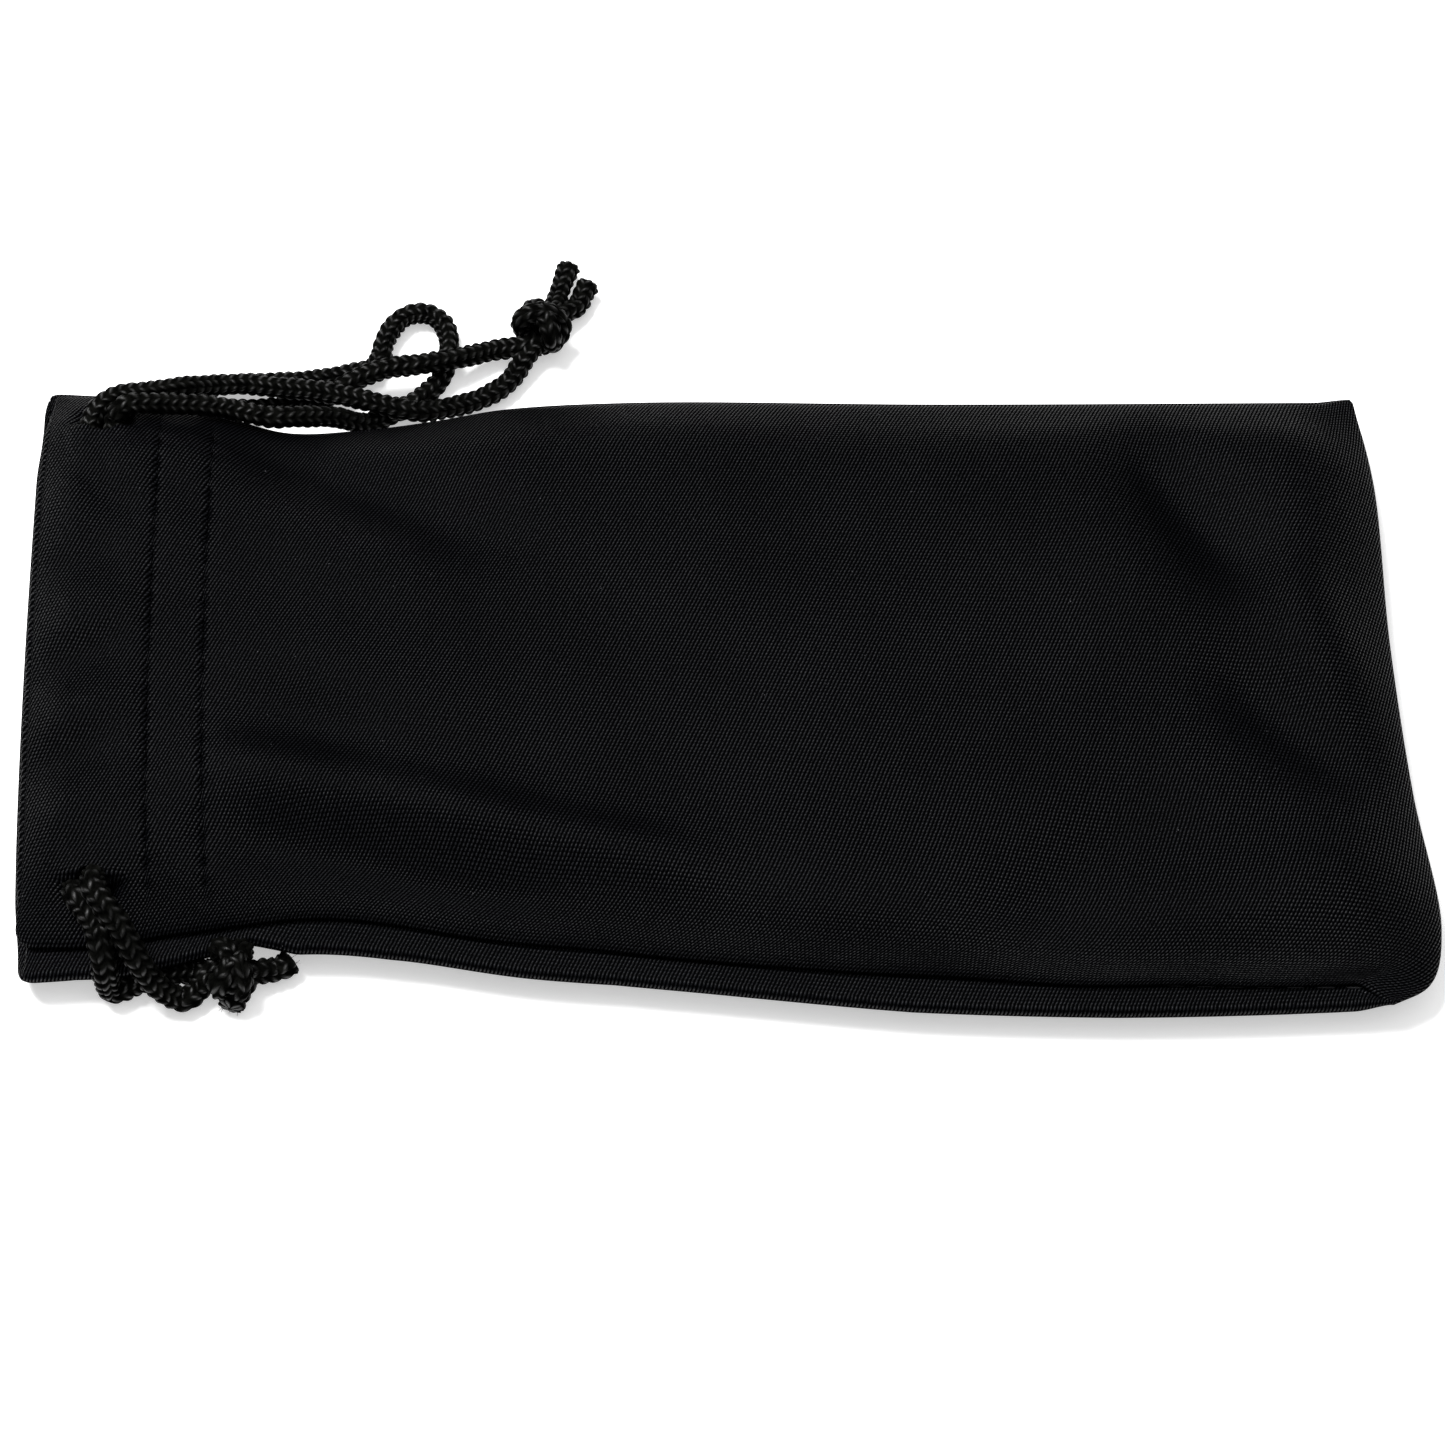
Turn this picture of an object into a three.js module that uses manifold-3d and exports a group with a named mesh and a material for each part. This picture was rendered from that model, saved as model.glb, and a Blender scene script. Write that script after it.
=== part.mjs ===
// Soft drawstring pouch for glasses, lying on its back with its mouth towards -X.
// Millimetres, +Z up. The origin is on the surface that it lies on, below the middle of the cloth.
//
// One strip of cloth is folded at the closed end (+X) and sewn up both sides (+Y far, -Y near).
// The mouth is turned inwards and held by two rows of stitches, which leaves a channel for two cords.
// Each cord goes once round the mouth and leaves by the hole at its own side, where its two ends are
// knotted together. Cord A leaves at the far side and cord B at the near side.

import * as THREE from "three";
import { mergeVertices } from "three/addons/utils/BufferGeometryUtils.js";
import Module from "manifold-3d";

const wasm = await Module();
wasm.setup();

// ---- driving dimensions ----------------------------------------------------------------------

const HEIGHT = 12.6; // top of the front panel above the surface, in the middle
const SEAM_Z = 5.5; // the side seams run halfway up
const CLOTH = 0.7; // thickness of one layer of cloth
const GAP = 0.3; // clearance between pieces that touch
const CORD = 2.8; // diameter of the loose cord
const FLAT_CORD = { wide: 3.0, thick: 1.6 }; // the same cord pressed flat in its channel
const THREAD = 0.45; // diameter of the sewing thread

// plan outline of the pouch as it lies, each edge from its first corner to its second
const CORNER = {
  nearMouth: [-87, -40],
  farMouth: [-90.5, 45],
  nearEnd: [84.5, -45],
  farEnd: [85.6, 43.5],
};
const NEAR_EDGE = [[-77, -39.7], [-65, -37.8], [-51, -36], [-40, -36.6], [-23, -39.6], [0, -41.8],
  [27, -44], [55, -45]];
const FAR_EDGE = [[-76, 43.8], [-66, 41.2], [-57, 38.6], [-46, 39.2], [-37, 40.6], [-28, 42.4],
  [-10, 43.5], [30, 43.2]];
const MOUTH_EDGE = [[-88.4, -20], [-89.6, 8]];
const END_EDGE = [[89, -42.3], [90.8, -35], [88.8, -16], [87.6, 6], [87.4, 30]];

// how far the cloth takes to rise from each edge to its full height
const FRONT_RISE = { near: 18, far: 14, end: 13 };
const BACK_RISE = { near: 10, far: 10, end: 9 };

// the mouth
const CASING_ROW = 16.6; // first row of stitches, from the mouth edge
const HEM_ROW = 23.8; // second row of stitches
const HEM_DEPTH = 25.6; // how far the cloth is turned in
const HEM_SIDE = 8.5; // the turned-in layer stops this far from the side seams
const CHANNEL = { from: 2.5, to: 14.5 }; // it is open between these distances from the mouth edge
const ROW_DENT = 0.9; // how deep each row of stitches pulls the cloth in
const DENT_WIDTH = 1.2;

// the three lanes that the cords keep to in the channel, from the mouth inwards
const LANE = { a: -82.7, shared: -79.6, b: -76.5 };
const RUN_Z = { front: 10, back: 1.8 };
const HOLE = { long: 6.6, far: 37.9, near: -31.7 };

// the side seams
const ALLOWANCE = { from: 2.4, to: 7.5, thick: 1, start: 29, stop: 6 };
const SEAM_THREAD_IN = 1.2; // the seam thread lies this far in from the edge
const STITCH_SIDE = 7; // the rows round the mouth stop this far from the side seams

// how far the seams' ends stop from the mouth and from the closed end
const SEAM_THREAD_STOP = 3;

// ---- plan and height of the cloth ---------------------------------------------------------------

const curve = (first, points, last) =>
  new THREE.SplineCurve([first, ...points, last].map(([x, y]) => new THREE.Vector2(x, y)));
const nearEdge = curve(CORNER.nearMouth, NEAR_EDGE, CORNER.nearEnd);
const farEdge = curve(CORNER.farMouth, FAR_EDGE, CORNER.farEnd);
const mouthEdge = curve(CORNER.nearMouth, MOUTH_EDGE, CORNER.farMouth);
const endEdge = curve(CORNER.nearEnd, END_EDGE, CORNER.farEnd);
const length = (nearEdge.getLength() + farEdge.getLength()) / 2;
const width = (mouthEdge.getLength() + endEdge.getLength()) / 2;

const lerp = THREE.MathUtils.lerp;
const smooth = (x, from, to) => THREE.MathUtils.smoothstep(x, from, to);

/** Point of the plan at a share u along the pouch and a share v across it, near side first. */
function plan(u, v) {
  const along = nearEdge.getPointAt(u).multiplyScalar(1 - v).add(farEdge.getPointAt(u).multiplyScalar(v));
  const across = mouthEdge.getPointAt(v).multiplyScalar(1 - u).add(endEdge.getPointAt(v).multiplyScalar(u));
  const corner = (k) => {
    const nearSide = lerp(CORNER.nearMouth[k], CORNER.nearEnd[k], u);
    const farSide = lerp(CORNER.farMouth[k], CORNER.farEnd[k], u);
    return lerp(nearSide, farSide, v);
  };
  return [along.x + across.x - corner(0), along.y + across.y - corner(1)];
}

/** Share of the full rise that the cloth has reached, from 0 at a closed edge to 1 in the middle. */
function rise(u, v, reach) {
  const from = (distance, over) => Math.sin((Math.PI / 2) * Math.min(1, Math.max(0, distance / over)));
  return from(v * width, reach.near) * from((1 - v) * width, reach.far) * from((1 - u) * length, reach.end);
}

/** Dent of the two rows of stitches round the mouth. */
function dent(u) {
  const at = u * length;
  const bump = (row) => Math.exp(-(((at - row) / DENT_WIDTH) ** 2));
  return ROW_DENT * (bump(CASING_ROW) + bump(HEM_ROW));
}

const frontTop = (u, v) => {
  const edge = SEAM_Z + GAP / 2 + CLOTH;
  const share = rise(u, v, FRONT_RISE);
  return edge + (HEIGHT - edge - dent(u)) * share;
};
const backUnder = (u, v) => {
  const edge = SEAM_Z - GAP / 2 - CLOTH;
  return edge + (dent(u) - edge) * rise(u, v, BACK_RISE);
};

/** Height of the channel between the two layers of a hem, `depth` in the middle. */
function channel(u, v, depth) {
  const at = u * length;
  const side = Math.min(v, 1 - v) * width;
  const open = smooth(at, 0, CHANNEL.from) * (1 - smooth(at, CHANNEL.to, CASING_ROW - 0.5));
  return GAP + (depth - GAP) * open * smooth(side, 0, HEM_SIDE + 1);
}
const CORD_ROOM = FLAT_CORD.thick / 2 + GAP;
const FRONT_CHANNEL = HEIGHT - CLOTH - (RUN_Z.front - CORD_ROOM);
const BACK_CHANNEL = RUN_Z.back + CORD_ROOM - CLOTH + GAP / 2;

// ---- solids -------------------------------------------------------------------------------------

const COLOUR = {
  cloth: new THREE.MeshStandardMaterial({ color: 0x15161a, roughness: 0.78, metalness: 0 }),
  cord: new THREE.MeshStandardMaterial({ color: 0x101110, roughness: 0.55, metalness: 0 }),
  thread: new THREE.MeshStandardMaterial({ color: 0x0d0d10, roughness: 0.6, metalness: 0 }),
};

const pouch = new THREE.Group();
pouch.name = "glasses_pouch";

function add(name, geometry, material) {
  const mesh = new THREE.Mesh(geometry, material.clone());
  mesh.name = name;
  pouch.add(mesh);
  return mesh;
}

/** Even stations from 0 to 1, closer together towards the ends when `ease` is 1. */
const stations = (count, ease = 0) =>
  Array.from({ length: count + 1 }, (_, i) => {
    const even = i / count;
    return lerp(even, 0.5 - 0.5 * Math.cos(Math.PI * even), ease);
  });

/** A layer of cloth: a box whose faces are moved to the heights that `under` and `top` give. */
function layer(along, across, under, top) {
  const box = new THREE.BoxGeometry(1, 1, 1, along.length - 1, across.length - 1, 1);
  const at = box.attributes.position;
  for (let i = 0; i < at.count; i += 1) {
    const u = along[Math.round((at.getX(i) + 0.5) * (along.length - 1))];
    const v = across[Math.round((at.getY(i) + 0.5) * (across.length - 1))];
    const [x, y] = plan(u, v);
    at.setXYZ(i, x, y, at.getZ(i) > 0 ? top(u, v) : under(u, v));
  }
  box.computeVertexNormals();
  return box;
}

function toManifold(geometry) {
  const bare = geometry.clone();
  bare.deleteAttribute("normal");
  bare.deleteAttribute("uv");
  const merged = mergeVertices(bare, 1e-5);
  const vertProperties = new Float32Array(merged.attributes.position.array);
  const triVerts = new Uint32Array(merged.index.array);
  return new wasm.Manifold(new wasm.Mesh({ numProp: 3, vertProperties, triVerts }));
}

function fromManifold(solid) {
  const mesh = solid.getMesh();
  const geometry = new THREE.BufferGeometry();
  geometry.setAttribute("position", new THREE.BufferAttribute(mesh.vertProperties, 3));
  geometry.setIndex(new THREE.BufferAttribute(mesh.triVerts, 1));
  geometry.computeVertexNormals();
  return geometry;
}

/** The slot that a cord leaves by, as a cutter that reaches up from the seam through the front panel. */
function slot(laneFrom, laneTo, y) {
  const tall = HEIGHT - SEAM_Z;
  const cutter = new THREE.BoxGeometry(laneTo - laneFrom + CORD + 2 * GAP, HOLE.long, tall);
  cutter.translate((laneFrom + laneTo) / 2, y, RUN_Z.front);
  return toManifold(cutter);
}

/** A tube along a smooth line through the points, with a round section or a flat one. */
function tube(points, steps, across = CORD, up = across, sides = 8) {
  const line = new THREE.CatmullRomCurve3(points.map((p) => new THREE.Vector3(...p)));
  const section = new THREE.Shape();
  for (let i = 0; i < sides; i += 1) {
    const turn = (2 * Math.PI * (i + 0.5)) / sides;
    const [a, b] = [(up / 2) * Math.cos(turn), (across / 2) * Math.sin(turn)];
    if (i === 0) section.moveTo(a, b);
    else section.lineTo(a, b);
  }
  section.closePath();
  return new THREE.ExtrudeGeometry(section, { steps, extrudePath: line });
}

const flatTube = (points, steps) => tube(points, steps, FLAT_CORD.wide, FLAT_CORD.thick);
const sewing = (points, steps) => tube(points, steps, THREAD, THREAD, 6);

// ---- cloth --------------------------------------------------------------------------------------

// distances from the mouth, and from the closed end, at which the cloth has a row of points
const HEM_ROWS = [0, 1.5, 3, 5, 8, 11, 14, 15.5, CASING_ROW, 18, 20.2, 22.5, HEM_ROW, HEM_DEPTH];
const NECK_ROWS = [28, 33];
const END_ROWS = [16, 12, 8.5, 5.5, 3, 1.2, 0];

const row = (distance) => distance / length;
const hemStations = HEM_ROWS.map(row);
const neckStations = NECK_ROWS.map(row);
const endStations = END_ROWS.map((distance) => 1 - row(distance));
const bodyStations = stations(12).map((t) => lerp(neckStations.at(-1), endStations[0], t)).slice(1, -1);
const along = [...hemStations, ...neckStations, ...bodyStations, ...endStations];
const across = stations(18, 0.8);

const frontSheet = layer(along, across, (u, v) => frontTop(u, v) - CLOTH, frontTop);
const backSheet = layer(along, across, backUnder, (u, v) => backUnder(u, v) + CLOTH);

const holes = slot(LANE.a, LANE.shared, HOLE.far).add(slot(LANE.shared, LANE.b, HOLE.near));
add("front_panel", fromManifold(toManifold(frontSheet).subtract(holes)), COLOUR.cloth);
add("back_panel", backSheet, COLOUR.cloth);

// the turned-in layers, which the front panel's and the back panel's cloth goes on into
const hemAcross = across.filter((v) => Math.min(v, 1 - v) * width > HEM_SIDE);
const frontHemTop = (u, v) => frontTop(u, v) - CLOTH - channel(u, v, FRONT_CHANNEL);
const backHemUnder = (u, v) => backUnder(u, v) + CLOTH + channel(u, v, BACK_CHANNEL);
const frontHem = layer(hemStations, hemAcross, (u, v) => frontHemTop(u, v) - CLOTH, frontHemTop);
const backHem = layer(hemStations, hemAcross, backHemUnder, (u, v) => backHemUnder(u, v) + CLOTH);
add("front_mouth_hem", frontHem, COLOUR.cloth);
add("back_mouth_hem", backHem, COLOUR.cloth);

// the seam allowances lie flat inside, from the hem to the closed end
for (const side of ["near", "far"]) {
  const inset = (distance) => (side === "near" ? distance / width : 1 - distance / width);
  const edges = [inset(ALLOWANCE.from), inset(ALLOWANCE.to)].sort((a, b) => a - b);
  const run = stations(24).map((t) => lerp(row(ALLOWANCE.start), 1 - row(ALLOWANCE.stop), t));
  const half = ALLOWANCE.thick / 2;
  add(`${side}_seam_allowance`, layer(run, edges, () => SEAM_Z - half, () => SEAM_Z + half), COLOUR.cloth);

  const line = stations(26).map((t) => {
    const u = lerp(row(SEAM_THREAD_STOP), 1 - row(SEAM_THREAD_STOP), t);
    const [x, y] = plan(u, inset(SEAM_THREAD_IN));
    return [x, y, SEAM_Z];
  });
  add(`${side}_seam_thread`, sewing(line, 36), COLOUR.thread);
}

// the two rows of stitches on each face
for (const [name, distance] of [["casing", CASING_ROW], ["hem", HEM_ROW]]) {
  const lie = (height) => stations(20).map((t) => {
    const v = lerp(STITCH_SIDE / width, 1 - STITCH_SIDE / width, t);
    const [x, y] = plan(row(distance), v);
    return [x, y, height(row(distance), v)];
  });
  const clear = THREAD + GAP / 2;
  const front = lie((u, v) => frontTop(u, v) + clear);
  const back = lie((u, v) => backUnder(u, v) - clear);
  add(`front_${name}_stitch`, sewing(front, 30), COLOUR.thread);
  add(`back_${name}_stitch`, sewing(back, 30), COLOUR.thread);
}

// ---- cords --------------------------------------------------------------------------------------

// how a bight goes round inside the side seam: distance past the end of the runs, and height
const BIGHT = [[2.2, 9.2], [4.2, 8.2], [6.2, 6.9], [7, 5.6], [6.8, 4.2], [5.6, 2.9], [3.6, 2]];

/** The front and back runs of a cord, and the bight that joins them at the side away from its hole. */
function cordInChannel(name, lane, frontFrom, backFrom, to) {
  const side = Math.sign(to - frontFrom);
  const run = (from, z) => [[lane, from, z], [lane, (from + to) / 2, z], [lane, to, z]];
  add(`${name}_front_run`, flatTube(run(frontFrom, RUN_Z.front), 6), COLOUR.cord);
  add(`${name}_back_run`, flatTube(run(backFrom, RUN_Z.back), 6), COLOUR.cord);
  const ends = (z) => [lane, to + side * GAP, z];
  const bight = BIGHT.map(([past, z]) => [lane, to + side * past, z]);
  const points = [ends(RUN_Z.front), ...bight, ends(RUN_Z.back)];
  add(`${name}_bight`, tube(points, 16, FLAT_CORD.thick, FLAT_CORD.wide), COLOUR.cord);
}

cordInChannel("cord_a", LANE.a, 34.6, 32, -28);
cordInChannel("cord_b", LANE.b, -28.4, -26.4, 31.8);

// from the back run round the inside of the side seam and up to the hole
add("cord_a_turn", flatTube([
  [-82.7, 32.4, 1.8], [-82.5, 34.2, 1.8], [-82, 36, 2.2], [-81, 37.8, 3.4], [-80, 38.5, 5.2],
  [-79.6, 38.2, 7.2], [-79.6, 37.7, 8.4],
], 12), COLOUR.cord);
add("cord_b_turn", flatTube([
  [-76.5, -26.9, 1.8], [-76.7, -29, 1.8], [-77.3, -31.2, 2.2], [-78.4, -33, 3.4], [-79.3, -33.8, 5.2],
  [-79.6, -33.5, 7.2], [-79.6, -33, 8.4],
], 12), COLOUR.cord);

// cord A outside, at the far side
const KNOT_A = { at: [-22.7, 56, 3.6], radii: [4.6, 4.1, 3.4] };
add("cord_a_front_strand", tube([
  [-82.7, 34.9, 10.1], [-82.7, 37.2, 10.2], [-81.4, 40, 10.5], [-78.6, 41.8, 10.2], [-75.2, 42.6, 9.6],
  [-71.5, 44.1, 8.4], [-67.4, 45.9, 6.2], [-63.1, 46.6, 5.4], [-58.7, 46.2, 5.1], [-54.2, 45.8, 5.1],
  [-48.9, 44.9, 4.8], [-45.2, 44, 4.6], [-41.9, 43.3, 4.2], [-39.6, 43.3, 3.6], [-37.2, 44.2, 2.8],
  [-33.8, 45.6, 2], [-30.3, 47.4, 1.6], [-28.1, 49.2, 1.6], [-26.2, 51, 2],
], 40), COLOUR.cord);
add("cord_a_back_strand", tube([
  [-79.6, 37.4, 9.3], [-79.5, 37.7, 10.6], [-78.8, 38.3, 11.8], [-77.4, 38.9, 12.2], [-75, 39.3, 11.8],
  [-72.3, 39.8, 10.9], [-68.5, 40.2, 10], [-65.4, 40.3, 9.2], [-59.1, 39, 8.9],
  [-55.9, 39.6, 8.1], [-51, 41.3, 5.4], [-46.8, 42.4, 2.2], [-43, 44.6, 1.5], [-40, 46.6, 1.5],
  [-37.4, 49.6, 1.5], [-36.4, 53.2, 1.5], [-36.3, 56.2, 1.5], [-37.2, 58.9, 1.5], [-39, 60.4, 1.5],
  [-41, 60.6, 1.5], [-42.8, 59.8, 1.5], [-44.2, 58, 1.5], [-45.2, 55.4, 1.5], [-45.5, 53.4, 1.5],
  [-46.5, 51.7, 1.5], [-48.8, 50.9, 1.5], [-55, 49.6, 1.5], [-65, 49, 1.5], [-68.2, 48.6, 1.5],
  [-69.6, 46.9, 1.5],
  [-68.4, 45, 1.5], [-65.2, 44.8, 1.6], [-55.8, 45.6, 1.7], [-52, 47.2, 1.9], [-49, 48.4, 3.4],
  [-44.6, 49.6, 4.6], [-40, 50.2, 4.8], [-35.2, 51.8, 3.8], [-30.6, 54, 2.4], [-28, 55.2, 2.4],
], 76), COLOUR.cord);
add("cord_a_tail_1", tube([
  [-22.2, 60.6, 2.6], [-21.6, 63, 1.8], [-20.8, 66, 1.5], [-20, 68.6, 1.5],
], 5), COLOUR.cord);
add("cord_a_tail_2", tube([
  [-19.4, 59.8, 2.4], [-18.8, 61.8, 1.8], [-18, 63.8, 1.5], [-17.2, 65.6, 1.5],
], 4), COLOUR.cord);

// cord B outside, at the near side
const KNOT_B = { at: [-59.9, -40.2, 3.1], radii: [3.9, 2.5, 2.8] };
add("cord_b_front_strand", tube([
  [-76.5, -29.1, 10.4], [-76.6, -30, 10.8], [-77, -31.2, 12.2], [-76.9, -32.7, 13.2], [-76, -34.2, 13.2],
  [-74.8, -35.9, 12.6], [-73.6, -37.2, 11.6], [-72.5, -39, 10.2], [-71.4, -40.6, 8.4], [-70.3, -41.8, 6.2],
  [-69.2, -42.5, 4.4], [-67.8, -42.9, 2.8], [-65.9, -43, 1.8], [-64, -42.6, 1.6],
], 22), COLOUR.cord);
add("cord_b_back_strand", tube([
  [-79.6, -32.5, 9.9], [-79.5, -32.8, 10.5], [-78.9, -33.6, 10.8], [-78.1, -34.5, 10.7], [-77.3, -35.7, 10.6],
  [-76.6, -37, 10.2], [-76.1, -38.5, 9.8], [-75.8, -40, 8.9], [-75.6, -41.2, 7.4], [-75.6, -41.7, 5.6],
  [-75.6, -41.8, 3.6], [-75.4, -41.9, 2.1], [-74.4, -41.8, 1.5], [-72.9, -41.1, 1.5], [-70.7, -40.3, 1.5],
  [-68.4, -39.6, 1.5], [-66.2, -39.3, 1.5], [-64.3, -39.5, 1.8],
], 26), COLOUR.cord);
add("cord_b_tail_1", tube([
  [-60, -43.1, 2.2], [-60.2, -43.7, 1.8], [-60.4, -44.4, 1.5],
], 3), COLOUR.cord);
add("cord_b_tail_2", tube([
  [-55.3, -39.6, 2.2], [-54.1, -38.6, 1.7], [-52.9, -37.6, 1.5],
], 3), COLOUR.cord);

for (const [name, knot] of [["cord_a_knot", KNOT_A], ["cord_b_knot", KNOT_B]]) {
  const lump = new THREE.SphereGeometry(1, 14, 9);
  lump.scale(...knot.radii);
  const mesh = add(name, lump, COLOUR.cord);
  mesh.position.set(...knot.at);
}

export default pouch;
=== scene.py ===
import math

import bmesh
import bpy
import numpy as np
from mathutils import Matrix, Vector, noise


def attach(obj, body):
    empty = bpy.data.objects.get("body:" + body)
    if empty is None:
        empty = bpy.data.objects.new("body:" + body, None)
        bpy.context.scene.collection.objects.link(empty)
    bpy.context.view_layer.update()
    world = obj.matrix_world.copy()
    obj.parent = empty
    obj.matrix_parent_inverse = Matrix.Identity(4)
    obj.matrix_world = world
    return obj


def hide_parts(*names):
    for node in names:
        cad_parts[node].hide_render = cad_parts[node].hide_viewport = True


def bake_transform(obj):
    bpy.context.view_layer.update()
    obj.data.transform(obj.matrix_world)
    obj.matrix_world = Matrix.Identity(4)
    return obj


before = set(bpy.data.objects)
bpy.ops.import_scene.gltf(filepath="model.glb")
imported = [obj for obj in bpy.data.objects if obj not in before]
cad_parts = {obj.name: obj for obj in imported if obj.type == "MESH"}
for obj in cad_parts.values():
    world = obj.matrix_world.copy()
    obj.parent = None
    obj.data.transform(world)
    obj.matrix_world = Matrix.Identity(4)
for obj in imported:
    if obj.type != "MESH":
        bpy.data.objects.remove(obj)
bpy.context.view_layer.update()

# A soft black drawstring pouch for glasses, lying on its back with its mouth towards -X.
# The scene is in metres in the part's own frame. Lists of points and of heights are in
# millimetres, and MM turns a millimetre into metres.

MM = 0.001

# ---- driving dimensions, the same as the part's -------------------------------------------------

HEIGHT = 12.6 * MM
SEAM_Z = 5.5 * MM  # height of the side seams
CORD_D = 2.8 * MM
CASING_ROW = 16.6 * MM  # the first row of stitches, from the mouth edge
HEM_ROW = 23.8 * MM  # the second row
HEM_DEPTH = 25.6 * MM
# how far in from each edge the front and the back get their full height
FRONT_RISE = {"near": 18 * MM, "far": 14 * MM, "end": 13 * MM}
BACK_RISE = {"near": 10 * MM, "far": 10 * MM, "end": 9 * MM}

# the outline from above
NEAR_EDGE = [(-87, -40), (-77, -39.7), (-65, -37.8), (-51, -36), (-40, -36.6), (-23, -39.6),
             (0, -41.8), (27, -44), (55, -45), (84.5, -45)]
FAR_EDGE = [(-90.5, 45), (-76, 43.8), (-66, 41.2), (-57, 38.6), (-46, 39.2), (-37, 40.6),
            (-28, 42.4), (-10, 43.5), (30, 43.2), (85.6, 43.5)]
MOUTH_EDGE = [(-87, -40), (-88.4, -20), (-89.6, 8), (-90.5, 45)]
END_EDGE = [(84.5, -45), (89, -42.3), (90.8, -35), (88.8, -16), (87.6, 6), (87.4, 30),
            (85.6, 43.5)]

# ---- the cords' knit, which shapes the cords and lights their loops ------------------------------

WALES = 4  # columns of loops round the cord
LOOP = 1.3 * MM  # length of one knitted loop
LEAN = 0.62  # how far along the cord a loop's arms lean, in loops
CORE = 0.70  # the cord between its yarns, as a share of its radius
YARN = 0.32  # height of the yarns above that, as a share of the radius
YARN_ROUNDNESS = 0.6  # below 1 a yarn's top is broader
BETWEEN_COLUMNS = 0.15  # height of the yarn in the valleys beside and inside a column
UNEVEN = 0.1

# ---- camera: from the near side, a third of the way down from straight above --------------------

LENS_MM = 100
SENSOR_MM = 36
NEAREST = 0.01  # nothing nearer to the camera is drawn
CAMERA_AT = (0.00117, -0.00254, 0)
CAMERA_AWAY = 0.5232
CAMERA_ELEVATION = 61.3


def add_camera():
    data = bpy.data.cameras.new("camera")
    data.lens = LENS_MM
    data.sensor_width = SENSOR_MM
    data.clip_start = NEAREST
    cam = bpy.data.objects.new("camera", data)
    el = math.radians(CAMERA_ELEVATION)
    back = Vector((0, -math.cos(el), math.sin(el)))
    cam.location = Vector(CAMERA_AT) + CAMERA_AWAY * back
    cam.rotation_euler = back.to_track_quat("Z", "Y").to_euler()
    bpy.context.collection.objects.link(cam)
    bpy.context.scene.camera = cam


add_camera()

# ---- small helpers ------------------------------------------------------------------------------


def smooth(x, low, high):
    t = np.clip((np.asarray(x, float) - low) / (high - low), 0, 1)
    return t * t * (3 - 2 * t)


def bump(x, middle, width):
    return np.exp(-(((x - middle) / width) ** 2))


def lengths_along(points):
    """The distance along the line at which each of its points lies."""
    return np.concatenate([[0], np.cumsum(np.linalg.norm(np.diff(points, axis=0), axis=1))])


def between(t, start, end, a, b):
    """The point for t, on the way from a at `start` to b at `end`."""
    return (end - t) / (end - start) * a + (t - start) / (end - start) * b


SPLINE_STEPS = 40  # points worked out between two given ones


def spline(points, count):
    """A centripetal Catmull-Rom line through the points, as `count` points an even distance apart."""
    p = np.asarray(points, float)
    p = np.vstack([2 * p[0] - p[1], p, 2 * p[-1] - p[-2]])
    line = []
    for a, b, c, d in zip(p, p[1:], p[2:], p[3:]):
        gaps = [max(np.linalg.norm(f - g), 1e-9) ** 0.5 for f, g in ((a, b), (b, c), (c, d))]
        at_a, at_b, at_c, at_d = np.cumsum([0] + gaps)
        t = np.linspace(at_b, at_c, SPLINE_STEPS, endpoint=False)[:, None]
        ab = between(t, at_a, at_b, a, b)
        bc = between(t, at_b, at_c, b, c)
        cd = between(t, at_c, at_d, c, d)
        abc = between(t, at_a, at_c, ab, bc)
        bcd = between(t, at_b, at_d, bc, cd)
        line.append(between(t, at_b, at_c, abc, bcd))
    line = np.vstack(line + [p[-2]])
    far = lengths_along(line)
    at = np.linspace(0, far[-1], count)
    return np.column_stack([np.interp(at, far, line[:, k]) for k in range(line.shape[1])])


def line_length(points):
    return float(np.linalg.norm(np.diff(points, axis=0), axis=1).sum())


UV_MAP = "cloth"  # every mesh has one UV map of this name, in metres


def new_object(name, verts, faces, uv=None):
    """A smooth mesh from points, faces of one size and, for each point, its UV place."""
    mesh = bpy.data.meshes.new(name)
    verts = np.asarray(verts, float)
    faces = np.asarray(faces, np.int32)
    mesh.vertices.add(len(verts))
    mesh.vertices.foreach_set("co", verts.ravel())
    mesh.loops.add(faces.size)
    mesh.loops.foreach_set("vertex_index", faces.ravel())
    mesh.polygons.add(len(faces))
    size = faces.shape[1]
    mesh.polygons.foreach_set("loop_start", np.arange(len(faces), dtype=np.int32) * size)
    if uv is not None:
        layer = mesh.uv_layers.new(name=UV_MAP)
        layer.data.foreach_set("uv", np.asarray(uv, float)[faces.ravel()].ravel())
    mesh.update(calc_edges=True)
    mesh.validate()
    mesh.shade_smooth()
    obj = bpy.data.objects.new(name, mesh)
    bpy.context.collection.objects.link(obj)
    return obj


def grid_faces(rows, columns, wrap=False):
    """Quads of a grid of vertices in row order; with `wrap` the last column joins the first."""
    i = np.arange(rows - 1)[:, None] * columns
    j = np.arange(columns if wrap else columns - 1)[None, :]
    k = (j + 1) % columns
    return np.stack([i + j, i + k, i + columns + k, i + columns + j], axis=-1).reshape(-1, 4)


def read(items, field, width, kind=float):
    """One field of each item in a mesh's list, as rows of `width` numbers."""
    values = np.zeros(len(items) * width, kind)
    items.foreach_get(field, values)
    return values.reshape(-1, width)


# ---- materials ----------------------------------------------------------------------------------


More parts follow.
